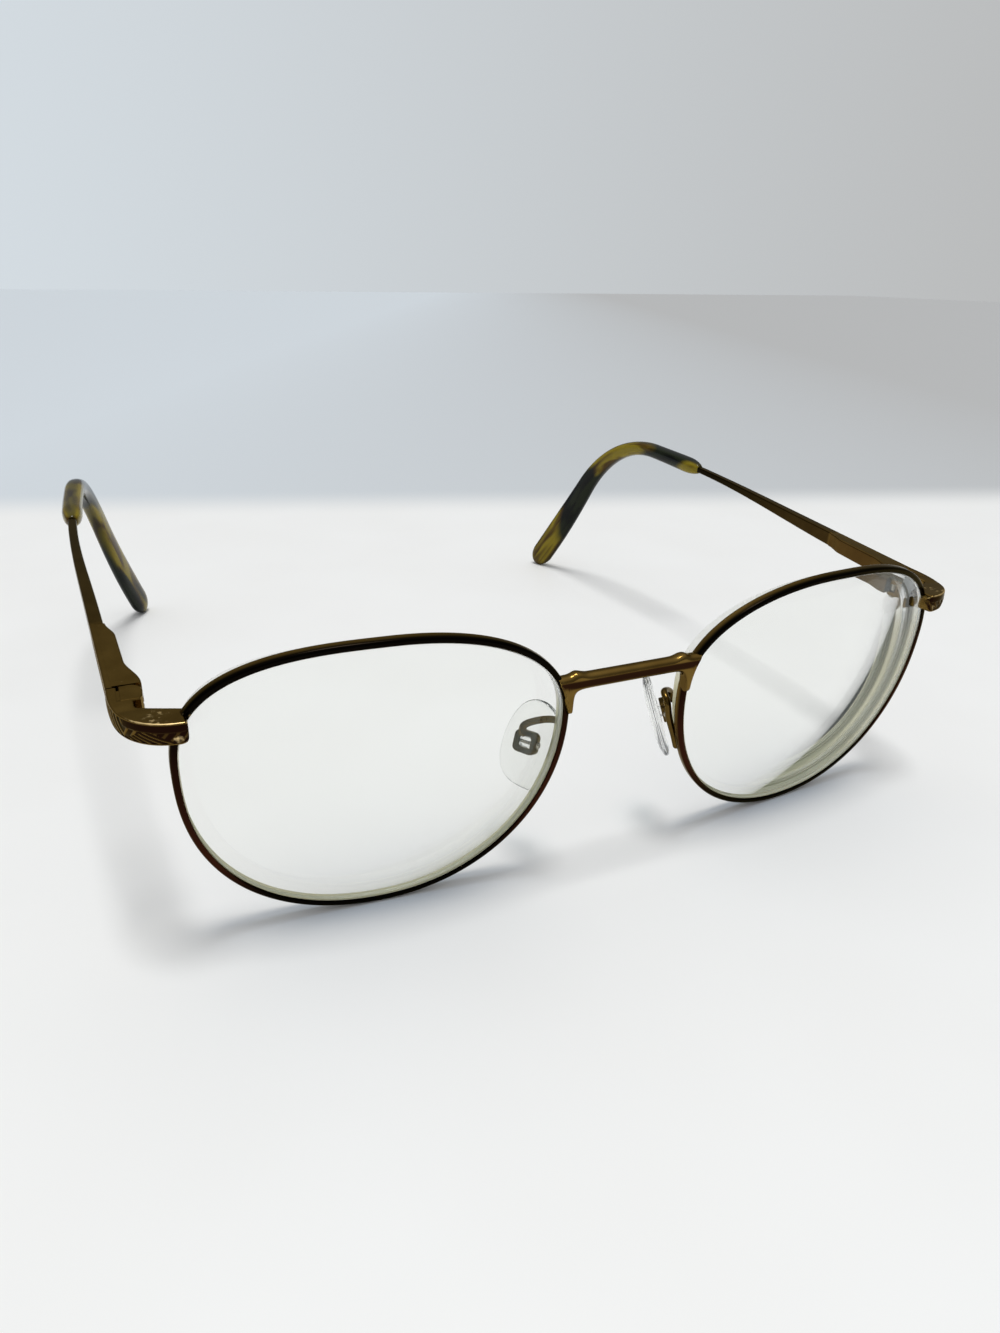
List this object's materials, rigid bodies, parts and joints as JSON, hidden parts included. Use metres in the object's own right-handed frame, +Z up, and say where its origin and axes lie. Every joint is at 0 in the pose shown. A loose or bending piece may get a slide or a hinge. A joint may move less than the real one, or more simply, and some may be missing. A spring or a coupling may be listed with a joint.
{
  "type": "spectacles",
  "caption": "Full-rim metal prescription spectacles with clear lenses, spring-hinged temples, tortoise ear tips and adjustable silicone nose pads.",
  "frame": {"origin": "on the table, under the middle of the bounding box of the open spectacles", "axes": "+X towards the wearer's left, +Y back along the temples, +Z up"},
  "size_m": [0.135, 0.1384, 0.0408],
  "materials": {
    "bronze": "antique bronze plating, satin with glossy edges",
    "dark_bronze": "dark antique bronze plating",
    "steel": "plain machined screws and springs",
    "lens_clear": "clear polished optical plastic",
    "silicone": "clear soft silicone",
    "acetate": "polished olive and brown tortoise acetate"
  },
  "bodies": {
    "front": {"bridge": "bronze", "rim_right": "bronze", "lens_right": "lens_clear", "endpiece_right": "bronze", "hinge_fork_right": "bronze", "rim_lock_right": "bronze", "rim_lock_screw_right": "steel", "pad_arm_right": "bronze", "pad_box_right": "steel", "pad_screw_right": "steel", "rim_left": "bronze", "lens_left": "lens_clear", "endpiece_left": "bronze", "hinge_fork_left": "bronze", "rim_lock_left": "bronze", "rim_lock_screw_left": "steel", "pad_arm_left": "bronze", "pad_box_left": "steel", "pad_screw_left": "steel"},
    "hinge_screw_right": {"hinge_screw_right": "steel"},
    "slider_right": {"hinge_tongue_right": "steel", "spring_stop_right": "steel"},
    "temple_right": {"temple_right": "dark_bronze", "spring_housing_right": "bronze", "hinge_spring_right": "steel", "temple_tip_right": "acetate"},
    "nose_pad_right": {"nose_pad_right": "silicone"},
    "hinge_screw_left": {"hinge_screw_left": "steel"},
    "slider_left": {"hinge_tongue_left": "steel", "spring_stop_left": "steel"},
    "temple_left": {"temple_left": "dark_bronze", "spring_housing_left": "bronze", "hinge_spring_left": "steel", "temple_tip_left": "acetate"},
    "nose_pad_left": {"nose_pad_left": "silicone"}
  },
  "joints": [
    {"name": "flex_right", "type": "hinge", "parent": "front", "child": "hinge_screw_right", "pos_m": [-0.06154, -0.05606, 0.03222], "axis": [0, 0.0663, -0.9978], "range_deg": [-10, 0], "stiffness_Nm_per_rad": 0.25, "springref_deg": 5.73},
    {"name": "fold_right", "type": "hinge", "parent": "hinge_screw_right", "child": "slider_right", "pos_m": [-0.06154, -0.05606, 0.03222], "axis": [0, 0.0663, -0.9978], "range_deg": [0, 88]},
    {"name": "spring_travel_right", "type": "slide", "parent": "slider_right", "child": "temple_right", "axis": [0, 0.9978, 0.0663], "range_m": [0, 0.00045]},
    {"name": "pad_rock_right", "type": "hinge", "parent": "front", "child": "nose_pad_right", "pos_m": [-0.01165, -0.06052, 0.01927], "axis": [-0.4617, 0.887, 0], "range_deg": [-8, 8]},
    {"name": "flex_left", "type": "hinge", "parent": "front", "child": "hinge_screw_left", "pos_m": [0.06154, -0.05606, 0.03222], "axis": [0, -0.0663, 0.9978], "range_deg": [-10, 0], "stiffness_Nm_per_rad": 0.25, "springref_deg": 5.73},
    {"name": "fold_left", "type": "hinge", "parent": "hinge_screw_left", "child": "slider_left", "pos_m": [0.06154, -0.05606, 0.03222], "axis": [0, -0.0663, 0.9978], "range_deg": [0, 78]},
    {"name": "spring_travel_left", "type": "slide", "parent": "slider_left", "child": "temple_left", "axis": [0, 0.9978, 0.0663], "range_m": [0, 0.00045]},
    {"name": "pad_rock_left", "type": "hinge", "parent": "front", "child": "nose_pad_left", "pos_m": [0.01165, -0.06052, 0.01927], "axis": [0.4617, 0.887, 0], "range_deg": [-8, 8]}
  ],
  "couplings": [
    {"joint": "spring_travel_right", "follows": "flex_right", "m_per_rad": -0.0025783},
    {"joint": "spring_travel_left", "follows": "flex_left", "m_per_rad": -0.0025783}
  ]
}
